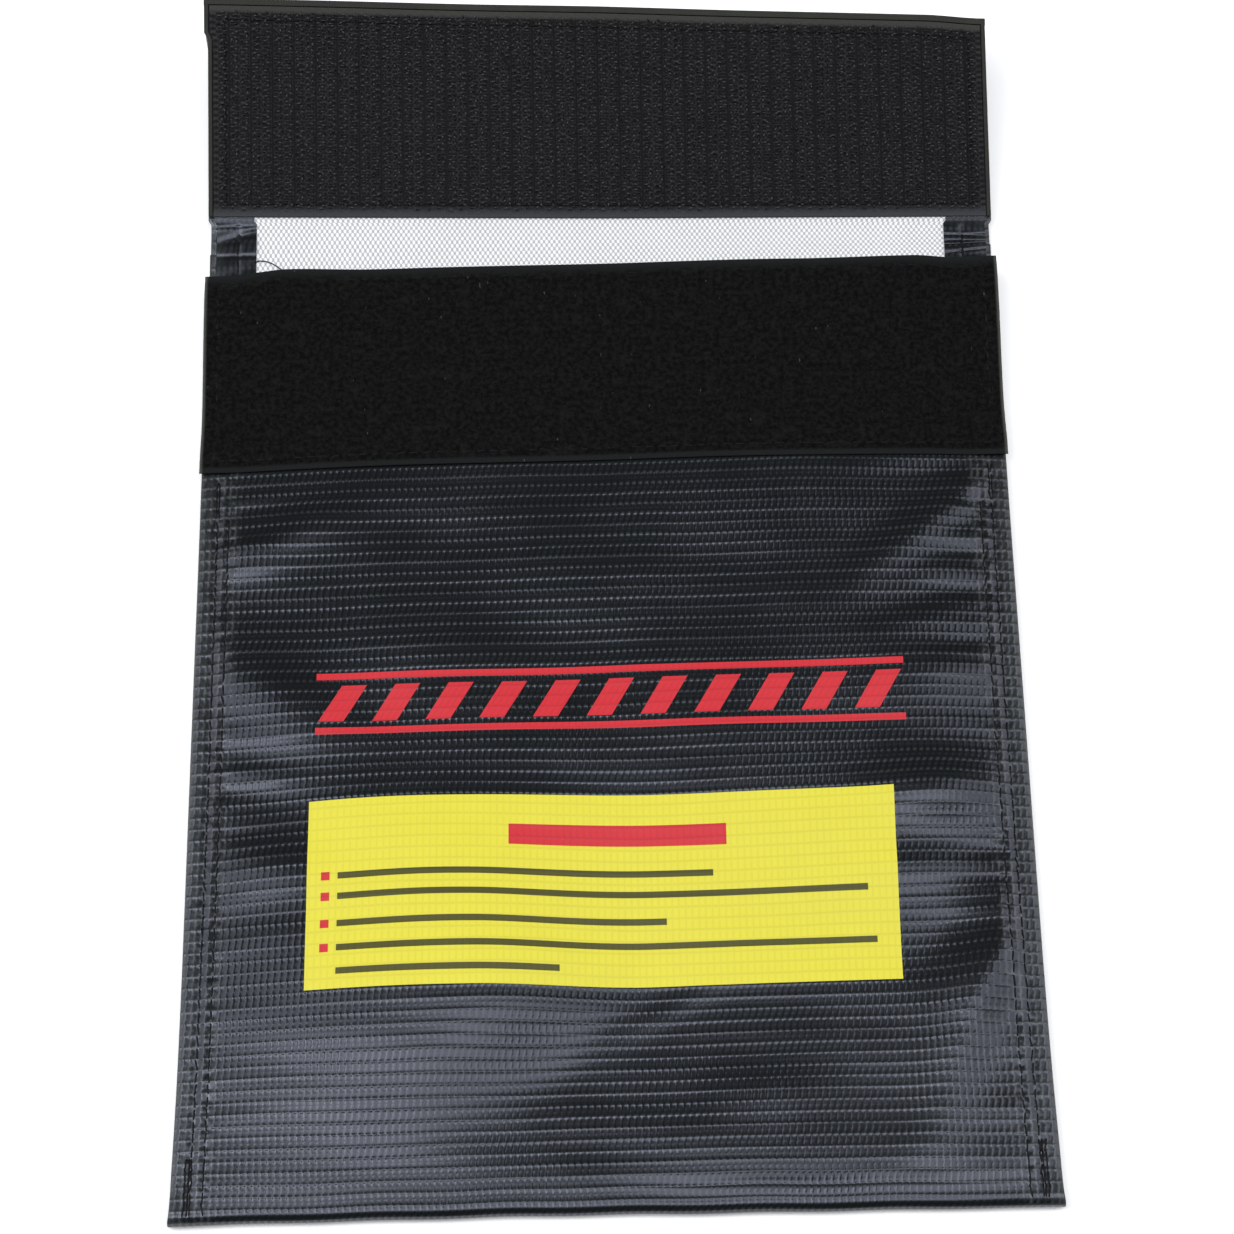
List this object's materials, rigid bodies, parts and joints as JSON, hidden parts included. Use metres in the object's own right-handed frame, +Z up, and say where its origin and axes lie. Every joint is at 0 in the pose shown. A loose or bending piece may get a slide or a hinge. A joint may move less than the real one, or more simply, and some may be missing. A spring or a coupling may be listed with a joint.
{
  "type": "battery safety pouch",
  "caption": "Flat black coated-fabric safety pouch for lithium batteries, with a white heat-resistant lining and a folding hook-and-loop flap, lying open.",
  "frame": {"origin": "centre of the bounding box, on the underside that lies on the table", "axes": "+Z up out of the front panel, +Y from the bottom fold towards the flap, +X to the right seen from the front"},
  "size_m": [0.182, 0.2836, 0.0191],
  "materials": {
    "vinyl": "black PVC-coated mesh fabric, semi-gloss, fine embossed grid of about 1.4 x 2.4 mm",
    "glass_cloth": "white plain-woven glass cloth",
    "loop_pile": "black loop tape, deep matt pile",
    "hook_nylon": "black nylon hook tape, rows of fine hooks",
    "thread": "black polyester sewing thread",
    "yellow_ink": "yellow screen print over the embossed grid",
    "red_ink": "red screen print over the embossed grid"
  },
  "bodies": {
    "pouch": {"back_shell": "vinyl", "front_shell": "vinyl", "bottom_fold": "vinyl", "mouth_hem": "vinyl", "left_side_hem": "vinyl", "right_side_hem": "vinyl", "back_lining": "glass_cloth", "front_lining": "glass_cloth", "loop_strip": "loop_pile", "loop_strip_stitching": "thread", "left_outer_seam": "thread", "left_inner_seam": "thread", "right_inner_seam": "thread", "right_outer_seam": "thread", "bottom_left_tack": "thread", "bottom_right_tack": "thread", "top_left_tack": "thread", "top_right_tack": "thread", "instruction_panel": "yellow_ink", "title_band": "red_ink"},
    "neck": {"neck_shell": "vinyl", "neck_lining": "glass_cloth", "neck_left_hem": "vinyl", "neck_right_hem": "vinyl", "neck_left_seam": "thread", "neck_right_seam": "thread"},
    "flap": {"flap_shell": "vinyl", "flap_lining": "glass_cloth", "hook_strip": "hook_nylon", "hook_strip_stitching": "thread", "flap_left_hem": "vinyl", "flap_right_hem": "vinyl", "flap_tip_hem": "vinyl"}
  },
  "joints": [
    {"name": "neck_fold", "type": "hinge", "parent": "pouch", "child": "neck", "pos_m": [0, 0.07983, 0.0003], "axis": [1, 0, 0], "range_deg": [-8, 82]},
    {"name": "flap_fold", "type": "hinge", "parent": "neck", "child": "flap", "pos_m": [0, 0.09052, 0.0018], "axis": [1, 0, 0], "range_deg": [-9, 81]}
  ]
}
